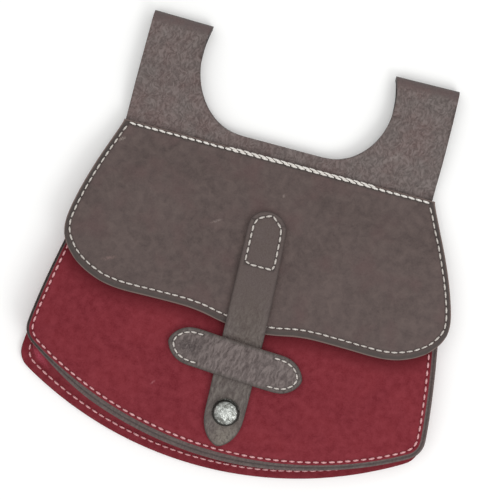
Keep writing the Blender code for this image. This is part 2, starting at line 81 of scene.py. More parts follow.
# %% Camera
CAMERA_TURN = math.radians(15)
CAMERA_HEIGHT = 0.9
VIEW_MIDDLE = (-0.0054, 0.0039)
MM_PER_PIXEL = 0.535
PICTURE_SIDE = 500
SENSOR_MM = 36.0

bpy.ops.object.camera_add(location=(*VIEW_MIDDLE, CAMERA_HEIGHT), rotation=(0, 0, CAMERA_TURN))
camera = bpy.context.object
camera.data.sensor_width = SENSOR_MM
camera.data.lens = SENSOR_MM * CAMERA_HEIGHT / (MM_PER_PIXEL * PICTURE_SIDE * MM)
camera.data.clip_start = 0.01
bpy.context.scene.camera = camera
print(f"lens {camera.data.lens:.1f} mm")

# %% [markdown]
# The light is a soft studio tent. One softbox stands to the lower right of the picture, because
# the strap and the keeper throw thin dark lines along their upper and left edges there, and a
# larger one hangs over the table. A white world fills what is left.

# %% Helpers for nodes and lamps
def to_linear(code):
    """Linear colour of an sRGB hex code."""
    parts = [int(code[i:i + 2], 16) / 255 for i in (0, 2, 4)]
    return [p / 12.92 if p <= 0.04045 else ((p + 0.055) / 1.055) ** 2.4 for p in parts] + [1.0]


def add_node(tree, kind, sockets=None, **settings):
    """Add a node. Settings are its properties, sockets its inputs: a value or another's output."""
    node = tree.nodes.new(kind)
    for name, value in settings.items():
        setattr(node, name, value)
    for name, value in (sockets or {}).items():
        if isinstance(value, bpy.types.NodeSocket):
            tree.links.new(value, node.inputs[name])
        else:
            node.inputs[name].default_value = value
    return node


def add_softbox(name, right, up, height, side, watts):
    """A square area light at a place in the picture's own directions, aimed at the pouch."""
    turn = Matrix.Rotation(CAMERA_TURN, 4, "Z")
    spot = turn @ Vector((right, up, height))
    aim = (-spot).to_track_quat("-Z", "Y").to_euler()
    bpy.ops.object.light_add(type="AREA", location=spot, rotation=aim)
    lamp = bpy.context.object
    lamp.name = name
    lamp.data.size = side
    lamp.data.energy = watts


# %% Floor and light
TENT_STRENGTH = 0.80
FLOOR_SIDE = 4.0
FLOOR_DROP = 0.2 * MM

bpy.context.scene.view_settings.view_transform = "Standard"
add_softbox("key_softbox", right=0.50, up=-0.62, height=0.85, side=0.50, watts=3.6)
add_softbox("top_softbox", right=-0.10, up=0.10, height=1.30, side=1.2, watts=3.0)
world = bpy.data.worlds.new("white_tent")
world.use_nodes = True
world.node_tree.nodes["Background"].inputs["Color"].default_value = to_linear("FFFFFF")
world.node_tree.nodes["Background"].inputs["Strength"].default_value = TENT_STRENGTH
bpy.context.scene.world = world

bpy.ops.object.select_all(action="DESELECT")
bpy.ops.mesh.primitive_plane_add(size=FLOOR_SIDE, location=(0, 0, -FLOOR_DROP))
floor = bpy.context.object
floor.name = "pale_floor"
paper = bpy.data.materials.new("matt_white_paper")
paper.use_nodes = True
paper.node_tree.nodes["Principled BSDF"].inputs["Base Color"].default_value = to_linear("FDFDFC")
paper.node_tree.nodes["Principled BSDF"].inputs["Roughness"].default_value = 0.9
floor.data.materials.append(paper)

# %% [markdown]
# ## Finishes
# All the leathers are dielectrics with a rough, broken surface, so their look comes from colour
# that wanders at two or three scales and from a fine bump. Every pattern reads Object
# coordinates, which are metres here, so a scale is one over the size of the feature.

# %% Shared parts of the materials
WORN_GRAIN = 0.9 * MM


def start_material(name, roughness, specular):
    """A new material with its node tree, its shader and its coordinates in metres."""
    made = bpy.data.materials.new(name)
    made.use_nodes = True
    tree = made.node_tree
    shader = tree.nodes["Principled BSDF"]
    shader.inputs["Roughness"].default_value = roughness
    shader.inputs["Specular IOR Level"].default_value = specular
    place = add_node(tree, "ShaderNodeTexCoord").outputs["Object"]
    return made, tree, shader, place


def noise(tree, place, feature, detail=3.0, low=0.35, high=0.65, rough=0.55, twist=0.0):
    """Noise of a feature size in metres, stretched to run from 0 to 1."""
    raw = add_node(tree, "ShaderNodeTexNoise", {
        "Vector": place, "Scale": 1 / feature, "Detail": detail, "Roughness": rough,
        "Distortion": twist})
    return add_node(tree, "ShaderNodeMapRange", {
        "Value": raw.outputs["Fac"], "From Min": low, "From Max": high}).outputs["Result"]


def blend(tree, factor, first, second):
    """One colour over another; each is an output or a linear colour."""
    return add_node(tree, "ShaderNodeMix", {0: factor, 6: first, 7: second},
                    data_type="RGBA").outputs[2]


def bump(tree, height, distance, normal=None):
    """A bump of a height in metres, on top of an earlier one."""
    sockets = {"Height": height, "Distance": distance, "Strength": 1.0}
    if normal:
        sockets["Normal"] = normal
    return add_node(tree, "ShaderNodeBump", sockets).outputs["Normal"]


def part_of(tree, factor, share):
    """A share of a factor. The share is a number or another factor."""
    return add_node(tree, "ShaderNodeMath", {0: factor, 1: share}, operation="MULTIPLY").outputs[0]


def painted(tree, name):
    """What near_line has written on a piece under this name, or 0 where it has written nothing."""
    return add_node(tree, "ShaderNodeAttribute", attribute_name=name).outputs["Fac"]


def mark(tree, place, spot, size, turn=0.0):
    """1 at a spot, fading to 0 at the edge of an ellipse with these half axes, broken by noise."""
    spread = add_node(tree, "ShaderNodeMapping", {
        "Vector": place, "Location": (*spot, 0), "Rotation": (0, 0, turn),
        "Scale": (*size, 1.0)}, vector_type="TEXTURE")
    away = add_node(tree, "ShaderNodeVectorMath", {0: spread.outputs["Vector"]}, operation="LENGTH")
    inside = add_node(tree, "ShaderNodeMapRange", {
        "Value": away.outputs["Value"], "From Min": 1.0, "From Max": 0.2}).outputs["Result"]
    broken = noise(tree, place, WORN_GRAIN, 2.0, 0.35, 0.55)
    return add_node(tree, "ShaderNodeMath", {0: inside, 1: broken}, operation="MULTIPLY").outputs[0]


# %% [markdown]
# ### Red suede
# Suede is the split flesh side of a hide, dyed and sanded to a short nap. It has no shine. Its
# colour drifts in soft clouds two or three centimetres wide, where the nap lies this way or
# that, and up close it is felt of fibres. The nap is finer than a pixel, so it is drawn at
# 0.8 mm. The suede is darkened by painted shade next to the flap's hem, where the flap shades
# it, and by painted shade in the furrows of its stitches. One short scratch shows on the left of
# the front. On the gusset's left corner a painted highlight stands for the light its wall catches.

# %% Red suede
SUEDE_CLOUD = 24 * MM
SUEDE_PATCH = 3.8 * MM
SUEDE_NAP = 0.8 * MM
# Middle, half axes and turn of each mark
SUEDE_SCRATCH = ((-36.6 * MM, -75.8 * MM), (0.7 * MM, 2.2 * MM), math.radians(-35))
# The corner mark is a painted highlight where the gusset's wall catches the light.
LIT_CORNER_HIGHLIGHT = ((-98.5 * MM, -80.0 * MM), (8.5 * MM, 2.8 * MM), math.radians(-38))


def napped_suede(name, deep, mid, pale, corner_highlight=False):
    """Dyed suede in three tones, with its scratch, its painted shade and, where asked, a painted
    highlight on its corner.
    """
    made, tree, shader, place = start_material(name, 0.95, 0.12)
    clouds = noise(tree, place, SUEDE_CLOUD, 3.0, 0.38, 0.64, twist=0.6)
    patches = noise(tree, place, SUEDE_PATCH, 4.0, 0.34, 0.68)
    nap = noise(tree, place, SUEDE_NAP, 2.0, 0.30, 0.70)
    colour = blend(tree, clouds, to_linear(deep), to_linear(mid))
    colour = blend(tree, part_of(tree, patches, 0.55), colour, to_linear(pale))
    colour = blend(tree, part_of(tree, nap, 0.35), colour, to_linear(pale))
    scratch = mark(tree, place, *SUEDE_SCRATCH)
    colour = blend(tree, part_of(tree, scratch, 0.7), colour, to_linear("A2646A"))
    # Painted shade: the suede is darker next to the flap's hem, where the flap shades it.
    colour = blend(tree, part_of(tree, painted(tree, "flap_hem_shade"), 0.75), colour, to_linear("58191F"))
    # Painted shade in the furrows of the stitches.
    colour = blend(tree, part_of(tree, painted(tree, "furrow"), 0.45), colour, to_linear("4E161B"))
    if corner_highlight:
        # A painted highlight on the gusset's left corner, where its wall catches the light.
        corner_light = mark(tree, place, *LIT_CORNER_HIGHLIGHT)
        colour = blend(tree, part_of(tree, corner_light, 0.75), colour, to_linear("AE485C"))
    tree.links.new(colour, shader.inputs["Base Color"])
    soft = bump(tree, patches, 0.18 * MM)
    tree.links.new(bump(tree, nap, 0.12 * MM, normal=soft), shader.inputs["Normal"])
    shader.inputs["Sheen Weight"].default_value = 0.12
    shader.inputs["Sheen Roughness"].default_value = 0.6
    shader.inputs["Sheen Tint"].default_value = to_linear("A85860")
    return made


red_suede = napped_suede("red_suede_nap", "661E26", "70242B", "86373F")
gusset_nap = napped_suede("gusset_suede_nap", "661E26", "70242B", "86373F", corner_highlight=True)
# The panels' cut sides take a darker copy of the suede: painted shade on the sides.
shaded_red_edge = napped_suede("red_suede_edge_painted_shade", "471519", "571D22", "6A2A30")
print("suede patterns in mm:", SUEDE_CLOUD / MM, SUEDE_PATCH / MM, SUEDE_NAP / MM)

# %% [markdown]
# ### Brown nubuck
# The flap is nubuck: full hide lightly sanded on its grain side, so it is matt and smooth with
# only a hint of pores. It is mottled from oil and handling, and marks a lighter colour where
# something has scraped it. The margin outside its stitches has been rubbed with edge dressing
# and is a little greener.

# %% Brown nubuck
NUBUCK_CLOUD = 30 * MM
NUBUCK_PATCH = 4.5 * MM
NUBUCK_PORE = 0.9 * MM
NUBUCK_STAIN = 3.6 * NUBUCK_PATCH
# Middle, half axes, turn and colour of each scraped place
NUBUCK_MARKS = {
    "pale scuff": ((-26.5 * MM, 14.0 * MM), (0.9 * MM, 3.8 * MM), -1.0, "8A7D78"),
    "pale dot": ((4.5 * MM, 36.0 * MM), (1.0 * MM, 1.2 * MM), 0.0, "8A7D78"),
    "pale corner": ((-86.0 * MM, 43.3 * MM), (1.2 * MM, 2.6 * MM), -0.9, "A0968E"),
    "red streak": ((-75.4 * MM, -19.1 * MM), (1.4 * MM, 5.0 * MM), -1.1, "7C6662"),
}


def smooth_nubuck(name, deep, mid, pale, warm):
    """Sanded hide in four tones, with its dressed margin, paler rim and scraped places."""
    made, tree, shader, place = start_material(name, 0.72, 0.25)
    clouds = noise(tree, place, NUBUCK_CLOUD, 3.0, 0.36, 0.66, twist=0.8)
    patches = noise(tree, place, NUBUCK_PATCH, 4.0, 0.34, 0.70, twist=0.4)
    pores = noise(tree, place, NUBUCK_PORE, 2.0, 0.30, 0.72)
    colour = blend(tree, clouds, to_linear(deep), to_linear(mid))
    colour = blend(tree, part_of(tree, patches, 0.6), colour, to_linear(pale))
    stain = noise(tree, place, NUBUCK_STAIN, 2.0, 0.50, 0.72)
    colour = blend(tree, part_of(tree, stain, 0.6), colour, to_linear(warm))
    colour = blend(tree, part_of(tree, pores, 0.30), colour, to_linear(pale))
    # The margin is edge dressing and the rim is cut fibre; the dark furrow is painted shade in the
    # stitch grooves.
    for layer, share, code in (("margin", 0.7, "413D3A"), ("rim", 0.7, "77655F"),
                               ("furrow", 0.6, "332B2A")):
        colour = blend(tree, part_of(tree, painted(tree, layer), share), colour, to_linear(code))
    for spot, size, turn, code in NUBUCK_MARKS.values():
        worn = mark(tree, place, spot, size, turn)
        colour = blend(tree, part_of(tree, worn, 0.6), colour, to_linear(code))
    tree.links.new(colour, shader.inputs["Base Color"])
    soft = bump(tree, patches, 0.20 * MM)
    tree.links.new(bump(tree, pores, 0.06 * MM, normal=soft), shader.inputs["Normal"])
    return made


nubuck = smooth_nubuck("brown_nubuck", "483D3B", "514543", "675955", "594544")
print("nubuck patterns in mm:", NUBUCK_CLOUD / MM, NUBUCK_PATCH / MM, NUBUCK_PORE / MM)

# %% [markdown]
# ### Wrinkled grain leather
# The yoke, the strap, the keeper and the welt are oiled leather with a drawn grain. Its wrinkles
# are short curved lines, little more than 1 mm apart and 2 to 4 mm long, that turn this way and
# that. So the coordinates first drift in a slow noise, which turns the lines, and are then
# stretched along one way, which draws them out. The wrinkles fade where a piece has been
# flattened: on the fold of the loops and on the upper half of the strap. On the fold the smooth
# colour is also darker, partly painted shade where the fold turns away. One long scratch crosses
# the yoke on the right, oil has darkened the keeper's left end, and wear has paled the strap's tip.

# %% Wrinkled grain leather
DRIFT_FEATURE = 6.0 * MM
DRIFT_REACH = 7.5 * MM
WRINKLE = 1.25 * MM
HIDE_GRIT = 0.7 * MM
HIDE_BLOTCH = 4.5 * MM
HIDE_CLOUD = 16 * MM


def calm_along_y(tree, place, full, calm):
    """1 beyond one height of Y and 0 beyond another, between them a ramp."""
    parts = add_node(tree, "ShaderNodeSeparateXYZ", {"Vector": place})
    return add_node(tree, "ShaderNodeMapRange", {
        "Value": parts.outputs["Y"], "From Min": calm, "From Max": full}).outputs["Result"]


def wrinkled_leather(name, deep, mid, pale, warm, stretch, turn=0.0, depth=1.0,
                     drift_reach=DRIFT_REACH, reach=None, calm_colour=None, stains=()):
    """Oiled hide with a drawn grain, smooth beyond its reach and stained at a few places."""
    made, tree, shader, place = start_material(name, 0.6, 0.3)
    drift = add_node(tree, "ShaderNodeTexNoise", {
        "Vector": place, "Scale": 1 / DRIFT_FEATURE, "Detail": 1.0})
    away = add_node(tree, "ShaderNodeVectorMath", {0: drift.outputs["Color"], 1: (0.5, 0.5, 0.5)},
                    operation="SUBTRACT").outputs["Vector"]
    away = add_node(tree, "ShaderNodeVectorMath", {0: away, "Scale": drift_reach},
                    operation="SCALE").outputs["Vector"]
    moved = add_node(tree, "ShaderNodeVectorMath", {0: place, 1: away}).outputs["Vector"]
    lie = add_node(tree, "ShaderNodeMapping", {
        "Vector": moved, "Rotation": (0, 0, turn), "Scale": (1.0, stretch, 1.0)},
        vector_type="TEXTURE").outputs["Vector"]
    lines = noise(tree, lie, WRINKLE, 2.0, 0.36, 0.64, rough=0.5)
    grit = noise(tree, place, HIDE_GRIT, 2.0, 0.30, 0.70)
    clouds = noise(tree, place, HIDE_CLOUD, 3.0, 0.38, 0.64)
    blotches = noise(tree, place, HIDE_BLOTCH, 4.0, 0.36, 0.66)
    strength = calm_along_y(tree, place, *reach) if reach else 1.0
    colour = blend(tree, clouds, to_linear(mid), to_linear(warm))
    hollow = add_node(tree, "ShaderNodeMath", {0: 1.0, 1: lines}, operation="SUBTRACT").outputs[0]
    for pattern, code, share in ((blotches, pale, 0.40), (lines, pale, 0.42), (hollow, deep, 0.55),
                                 (grit, pale, 0.28)):
        amount = part_of(tree, part_of(tree, pattern, strength), share)
        colour = blend(tree, amount, colour, to_linear(code))
    if calm_colour:
        smooth = add_node(tree, "ShaderNodeMath", {0: 1.0, 1: strength}, operation="SUBTRACT")
        calm = blend(tree, part_of(tree, blotches, 0.4), to_linear(calm_colour), to_linear(warm))
        calm = blend(tree, part_of(tree, grit, 0.22), calm, to_linear(pale))
        colour = blend(tree, smooth.outputs[0], colour, calm)
    for spot, size, turn, share, code in stains:
        stain = mark(tree, place, spot, size, turn)
        colour = blend(tree, part_of(tree, stain, share), colour, to_linear(code))
    # The dark furrow is painted shade in the stitch grooves and in the welt's groove.
    # The dark rim is partly painted shadow round the edges of the strap and the keeper.
    for layer, share, code in (("margin", 0.5, "3F3B35"), ("rim", 0.75, "332A27"),
                               ("furrow", 0.75, "2E2625")):
        colour = blend(tree, part_of(tree, painted(tree, layer), share), colour, to_linear(code))
    tree.links.new(colour, shader.inputs["Base Color"])
    height = part_of(tree, lines, strength)
    low = bump(tree, height, 0.16 * depth * MM)
    tree.links.new(bump(tree, grit, 0.05 * depth * MM, normal=low), shader.inputs["Normal"])
    return made


# Middle, half axes, turn, share and colour of each stain
YOKE_SCRATCH = ((55.3 * MM, 70.9 * MM), (1.3 * MM, 12 * MM), math.radians(-48), 0.5, "8C827E")
KEEPER_OIL = ((-23 * MM, -52 * MM), (9 * MM, 7 * MM), 0.0, 0.7, "322928")
STRAP_WEAR = ((7 * MM, -95 * MM), (9 * MM, 14 * MM), 0.0, 0.45, "8A8378")
YOKE_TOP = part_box("yoke")[1][1]
STRAP_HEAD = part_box("strap")[1][1]
# On the fold the calm colour is darker than the grain: partly smoothed leather, partly painted
# shade where the fold turns away.
yoke_grain = wrinkled_leather("wrinkled_yoke_leather", "3C3230", "5A504D", "7E7471", "614845",
                              stretch=1.9, calm_colour="534847", stains=[YOKE_SCRATCH],
                              reach=(YOKE_TOP - 7 * MM, YOKE_TOP - 4 * MM))
keeper_grain = wrinkled_leather("wrinkled_keeper_leather", "362D2C", "544947", "847976", "4A3D3B",
                                stretch=3.4, turn=math.radians(-10), depth=1.2,
                                drift_reach=3.5 * MM, stains=[KEEPER_OIL])
strap_grain = wrinkled_leather("wrinkled_strap_leather", "362D2C", "534745", "76706A", "4E413B",
                               stretch=3.4, drift_reach=3.5 * MM, calm_colour="524543",
                               stains=[STRAP_WEAR],
                               reach=(STRAP_HEAD - 75 * MM, STRAP_HEAD - 25 * MM))
welt_leather = wrinkled_leather("plain_welt_leather", "403635", "564A47", "6C605D", "54423F",
                                stretch=1.0, depth=0.5)
print("wrinkles", WRINKLE / MM, "mm apart")

# %% [markdown]
# ### Cut edges, thread and metal
# A cut edge shows the hide's inner fibre, paler and pinker than its face. The yoke's edge is
# burnished, so it is dark. The thread is waxed linen, white in the seam and greyed by handling
# on the flap. On the suede it has taken some of the red dye. The stud is cast tin, beaten over
# its dome and left bright, with dirt in its low places and a painted shadow line round its rim.

# %% Cut edges, thread and metal
def fibre(name, first, second, feature, roughness):
    """Two colours in a fine fibrous mix, for raw edges and for thread."""
    made, tree, shader, place = start_material(name, roughness, 0.25)
    strands = noise(tree, place, feature, 2.0, 0.35, 0.65)
    tree.links.new(blend(tree, strands, to_linear(first), to_linear(second)),
                   shader.inputs["Base Color"])
    tree.links.new(bump(tree, strands, 0.10 * MM), shader.inputs["Normal"])
    return made


raw_edge = fibre("raw_cut_hide_edge", "6A5552", "8C736E", 0.9 * MM, 0.85)
dark_edge = fibre("burnished_dark_edge", "433E3C", "565250", 0.9 * MM, 0.55)
white_thread = fibre("white_waxed_linen_thread", "CFC9C2", "EFEBE5", 0.5 * MM, 0.7)
grey_thread = fibre("greyed_linen_thread", "ABA39C", "DAD4CD", 0.5 * MM, 0.75)
pink_thread = fibre("dyed_pink_linen_thread", "BC8084", "E2B2B3", 0.5 * MM, 0.75)


def beaten_tin(name):
    """Bright tin with dirt in its low places and a painted shadow line round its rim."""
    made, tree, shader, place = start_material(name, 0.28, 0.5)
    shader.inputs["Metallic"].default_value = 1.0
    dirt = noise(tree, place, 3.0 * MM, 3.0, 0.36, 0.56, twist=0.8)
    colour = blend(tree, dirt, to_linear("7C7D78"), to_linear("BDC0BB"))
    # The dark line round the rim is painted shadow.
    tree.links.new(blend(tree, painted(tree, "rim"), colour, to_linear("3C3B38")),
                   shader.inputs["Base Color"])
    low = bump(tree, noise(tree, place, 1.9 * MM, 2.0, twist=1.0), 0.30 * MM)
    tree.links.new(bump(tree, noise(tree, place, 0.7 * MM), 0.04 * MM, normal=low),
                   shader.inputs["Normal"])
    return made


tin = beaten_tin("hammered_tin")
print("materials:", len(bpy.data.materials))

# %% [markdown]
# ## Working on the sheets
# Each leather piece starts from its solid in the frame. The solid is a mesh of loose triangles,
# so it is copied, its doubles are merged and its triangles are joined to quads. Its sharp rim is
# creased, and Subdivision Surface rounds the outline without pulling the corners in. A narrow
# bevel then eases the cut edge, as a maker's edge tool does.

# %% Copy a node as clean quads
SHARP = math.radians(50)
WELD = 0.002 * MM
QUAD_ANGLE = math.radians(60)
FACES_UP = 0.6
FACES_ASIDE = 0.45


def only(*things):
    """Select these objects and nothing else, and make the first one active."""
    bpy.ops.object.select_all(action="DESELECT")
    for thing in things:
        thing.select_set(True)
    bpy.context.view_layer.objects.active = things[0]


def merged_copy(node, name):
    """A new piece in the shape of a node, with its triangles merged into quads."""
    piece = bpy.data.objects.new(name, frame["nodes"][node].data.copy())
    bpy.context.scene.collection.objects.link(piece)
    piece.data.materials.clear()
    only(piece)
    bpy.ops.object.mode_set(mode="EDIT")
    bpy.ops.mesh.select_all(action="SELECT")
    bpy.ops.mesh.remove_doubles(threshold=WELD)
    bpy.ops.mesh.tris_convert_to_quads(face_threshold=QUAD_ANGLE, shape_threshold=QUAD_ANGLE)
    bpy.ops.object.mode_set(mode="OBJECT")
    return piece


def pick_faces(piece, wanted):
    """Select the faces for which wanted(normal) is true, and stay in edit mode."""
    only(piece)
    bpy.ops.object.mode_set(mode="EDIT")
    bpy.ops.mesh.select_mode(type="FACE")
    bpy.ops.mesh.select_all(action="DESELECT")
    bpy.ops.object.mode_set(mode="OBJECT")
    for face in piece.data.polygons:
        face.select = wanted(face.normal)
    bpy.ops.object.mode_set(mode="EDIT")


def looks_up(normal):
    return normal.z > FACES_UP


def looks_aside(normal):
    return abs(normal.z) < FACES_ASIDE


# %% Round a sheet's outline and ease its cut edge
def apply_all(piece):
    """Apply a piece's modifiers in their order."""
    only(piece)
    for modifier in list(piece.modifiers):
        bpy.ops.object.modifier_apply(modifier=modifier.name)


def dress_sheet(piece, face_finish, edge_finish, levels, ease, rings=()):
    """Give a sheet its finishes, rings of faces along its upper rim, smooth form and eased edge."""
    piece.data.materials.append(face_finish)
    piece.data.materials.append(edge_finish)
    pick_faces(piece, looks_aside)
    piece.active_material_index = 1
    bpy.ops.object.material_slot_assign()
    bpy.ops.mesh.select_all(action="DESELECT")
    bpy.ops.mesh.select_mode(type="EDGE")
    bpy.ops.mesh.edges_select_sharp(sharpness=SHARP)
    bpy.ops.transform.edge_crease(value=1.0)
    bpy.ops.object.mode_set(mode="OBJECT")
    if rings:
        pick_faces(piece, looks_up)
        for width in rings:
            bpy.ops.mesh.inset(thickness=width, use_even_offset=True, use_boundary=True)
        bpy.ops.object.mode_set(mode="OBJECT")
    smooth = piece.modifiers.new("smooth", "SUBSURF")
    smooth.levels = smooth.render_levels = levels
    eased = piece.modifiers.new("eased edge", "BEVEL")
    eased.width = ease
    eased.segments = 2
    eased.limit_method = "ANGLE"
    eased.angle_limit = SHARP
    apply_all(piece)
    piece.data.shade_smooth()
    print(piece.name, len(piece.data.polygons), "faces")


# %% [markdown]
# Soft leather never lies perfectly flat. One slow swell runs through the whole front, and
# because every layer reads it from the same stretched empty, the layers rise and fall together
# and stay clear of each other. The yoke's deepest wrinkles are pressed in by a ridged texture in
# the same way.

# %% Swell and wrinkles
def displace(piece, kind, size, strength, direction="NORMAL", middle=0.5, group="", **facts):
    """Displace by a texture whose coordinates come from an empty of the features' size."""
    pattern = bpy.data.textures.new(kind.lower(), kind)
    pattern.noise_scale = 1.0
    for key, value in facts.items():
        setattr(pattern, key, value)
    bpy.ops.object.empty_add()
    ruler = bpy.context.object
    ruler.scale = size
    bpy.context.view_layer.update()
    moved = piece.modifiers.new(kind.lower(), "DISPLACE")
    moved.texture = pattern
    moved.texture_coords = "OBJECT"
    moved.texture_coords_object = ruler
    moved.direction = direction
    moved.mid_level = middle
    moved.strength = strength
    moved.vertex_group = group
    apply_all(piece)
    bpy.data.objects.remove(ruler)


SWELL = 0.9 * MM
SWELL_SIZE = (42 * MM, 34 * MM, 10.0)


def swell(piece):
    """Let a piece of the front rise and fall with the others."""
    displace(piece, "CLOUDS", SWELL_SIZE, SWELL, direction="Z", noise_depth=1)


def upper_group(piece):
    """A vertex group of what faces up, for a texture that leaves the flesh side alone."""
    group = piece.vertex_groups.new(name="upper")
    for vert in piece.data.vertices:
        up = min(max((vert.normal.z - 0.5) / 0.4, 0.0), 1.0)
        if up > 0:
            group.add([vert.index], up, "REPLACE")
    return group.name


# %% [markdown]
# ## Lines along the edges
# Every row of stitches runs at a fixed distance from a cut edge, as a sewing wheel leaves it.
# So a row is read off the piece itself: the rim of its upper face is walked round, moved
# inwards, and cut into equal steps.

# %% Rims and lines
def upper_rim(node):
    """The rim of a node's upper face, in order, as points (x, y), counterclockwise."""
    mesh = bmesh.new()
    mesh.from_mesh(frame["nodes"][node].data)
    bmesh.ops.remove_doubles(mesh, verts=mesh.verts, dist=WELD)
    edges = [e for e in mesh.edges if sum(looks_up(f.normal) for f in e.link_faces) == 1]
    follow = {}
    for edge in edges:
        face = next(f for f in edge.link_faces if looks_up(f.normal))
        first, second = edge.verts
        order = [loop.vert for loop in face.loops]
        if order[(order.index(first) + 1) % len(order)] != second:
            first, second = second, first
        follow[first] = second
    start = here = next(iter(follow))
    line = []
    while True:
        line.append((here.co.x, here.co.y))
        here = follow[here]
        if here == start:
            break
    mesh.free()
    return np.array(line)


def resample(line, step, closed=False):
    """Points at equal steps along a line of points."""
    line = np.asarray(line, float)
    if closed:
        line = np.vstack([line, line[:1]])
    gaps = np.linalg.norm(np.diff(line, axis=0), axis=1)
    run = np.concatenate([[0], np.cumsum(gaps)])
    count = max(int(round(run[-1] / step)), 2)
    places = np.linspace(0, run[-1], count + 1)
    points = np.column_stack([np.interp(places, run, line[:, axis]) for axis in (0, 1)])
    return points[:-1] if closed else points


def soft_rim(node, step, passes):
    """A node's rim in equal steps, rounded by averaging each point with its neighbours."""
    line = resample(upper_rim(node), step, True)
    for _ in range(passes):
        line = (np.roll(line, 1, axis=0) + 2 * line + np.roll(line, -1, axis=0)) / 4
    return line


def move_in(line, distance):
    """Move a closed counterclockwise line inwards. Distance is a number or a rule on normals."""
    run = np.roll(line, -1, axis=0) - np.roll(line, 1, axis=0)
    run /= np.linalg.norm(run, axis=1)[:, None]
    inward = np.column_stack([-run[:, 1], run[:, 0]])
    far = distance(-inward) if callable(distance) else np.full(len(line), distance)
    return line + inward * far[:, None]


def lies_within(outline, x, y):
    """Whether a closed line of points goes round a place, by counting how often it is crossed."""
    ahead = np.roll(outline, -1, axis=0)
    between = (outline[:, 1] > y) != (ahead[:, 1] > y)
    run, rise = ahead[between] - outline[between], y - outline[between, 1]
    return np.sum(outline[between, 0] + run[:, 0] * rise / run[:, 1] > x) % 2 == 1


def search_tree(line):
    """A tree that finds the nearest of a line's points."""
    tree = KDTree(len(line))
    for index, (x, y) in enumerate(line):
        tree.insert((x, y, 0), index)
    tree.balance()
    return tree


def midway(line, other):
    """For each point of a line, the middle between it and the nearest point of another line."""
    tree = search_tree(other)
    return np.array([(np.array(tree.find((x, y, 0))[0][:2]) + (x, y)) / 2 for x, y in line])


def stretch_where(line, keep):
    """The stretch of a closed line where keep(point) holds, as one open line."""
    kept = np.array([bool(keep(p)) for p in line])
    first = next(i for i in range(len(line)) if kept[i] and not kept[i - 1])
    turned, kept = np.roll(line, -first, axis=0), np.roll(kept, -first)
    last = next((i for i in range(len(line)) if not kept[i]), len(line))
    return turned[:last]


# %% [markdown]
# A pulled thread sinks into the leather, so each line is also pressed in as a furrow before its
# stitches are laid. What lies near a line is written on the piece's points as an attribute, and
# the finishes read it: for the painted shade in a furrow and next to the flap's hem, for the
# dressing on a margin, and for the colour of a rim, which on the stud and partly on the strap
# and the keeper is painted shadow.

# %% Furrows and painted lines
DENSE_STEP = 0.25 * MM
PAINTED_UP = 0.3
FURROW_SHADE_SPREAD = 1.3
FURROW_REACH = 3


def far_from(line, closed=False):
    """A rule that gives a place's distance from a line of (x, y)."""
    tree = search_tree(resample(line, DENSE_STEP, closed))
    return lambda place: tree.find((place.x, place.y, 0))[2]


def near_line(piece, line, width, name, soft, closed=True):
    """Write 1 on what faces up within a width of a line, fading to 0 over a share of the width."""
    away = far_from(line, closed)
    held = piece.data.attributes.get(name) or piece.data.attributes.new(name, "FLOAT", "POINT")
    for vert in piece.data.vertices:
        near = min(max((width - away(vert.co)) / (soft * width), 0.0), 1.0)
        if near > 0 and vert.normal.z > PAINTED_UP:
            held.data[vert.index].value = max(held.data[vert.index].value, near)


def press_furrow(piece, line, depth, width):
    """Press a soft groove of a depth and half width along a line of (x, y) into the upper face."""
    away = far_from(line)
    # The finishes darken what is written here: painted shade in the groove.
    near_line(piece, line, FURROW_SHADE_SPREAD * width, "furrow", soft=0.8, closed=False)
    facing = [looks_up(vert.normal) for vert in piece.data.vertices]
    for vert, up in zip(piece.data.vertices, facing):
        gone = away(vert.co)
        if up and gone < FURROW_REACH * width:
            vert.co.z -= depth * math.exp(-(gone / width) ** 2)
    piece.data.update()


# %% [markdown]
# ## One stitch
# A stitch is a short length of two-ply thread that comes up through one hole and dives into the
# next. It is modelled once from a cylinder: cut across, bowed, drawn thin at its ends, and
# twisted so that the two plies show. The rows are copies of it.

# %% Model the stitch
STITCH_SIDES = 10
STITCH_CUTS = 9
PLY_DEPTH = 0.14
PLY_TWIST = 5.5
THINNEST = 0.05
DIVE = 0.55


def model_stitch():
    """A stitch of unit length along X and unit diameter, bowed up, with its ends below zero."""
    bpy.ops.object.select_all(action="DESELECT")
    bpy.ops.mesh.primitive_cylinder_add(vertices=STITCH_SIDES, radius=0.5, depth=1.0,
                                        rotation=(0, math.pi / 2, 0))
    stitch = bpy.context.object
    stitch.name = "stitch"
    bpy.ops.object.transform_apply(location=True, rotation=True, scale=True)
    bpy.ops.object.mode_set(mode="EDIT")
    for cut in range(STITCH_CUTS):
        across = (cut + 1) / (STITCH_CUTS + 1) - 0.5
        bpy.ops.mesh.select_all(action="SELECT")
        bpy.ops.mesh.bisect(plane_co=(across, 0, 0), plane_no=(1, 0, 0))
    bpy.ops.object.mode_set(mode="OBJECT")
    for vert in stitch.data.vertices:
        along = vert.co.x * 2
        angle = math.atan2(vert.co.z, vert.co.y)
        ply = 1 + PLY_DEPTH * (math.cos(2 * angle - PLY_TWIST * along) - 1)
        thin = math.sqrt(max(1 - abs(along) ** 5, THINNEST))
        vert.co.y *= ply * thin
        vert.co.z = vert.co.z * ply * thin
        vert.co.z -= DIVE * abs(along) ** 3.5
    stitch.data.shade_smooth()
    return stitch


stitch = model_stitch()
print("a stitch has", len(stitch.data.polygons), "faces")


# %% [markdown]
# No two stitches come out alike, so each copy is a little longer or shorter, thicker or thinner,
# turned and set aside, all by a tenth at most. The row's own name seeds its draws.

# %% Lay a row of stitches
OVER_ALL = 200 * MM
STITCH_SINK = 0.15
LENGTH_RANGE = (0.94, 1.05)
WIDTH_RANGE = (0.9, 1.08)
WANDER = 0.05


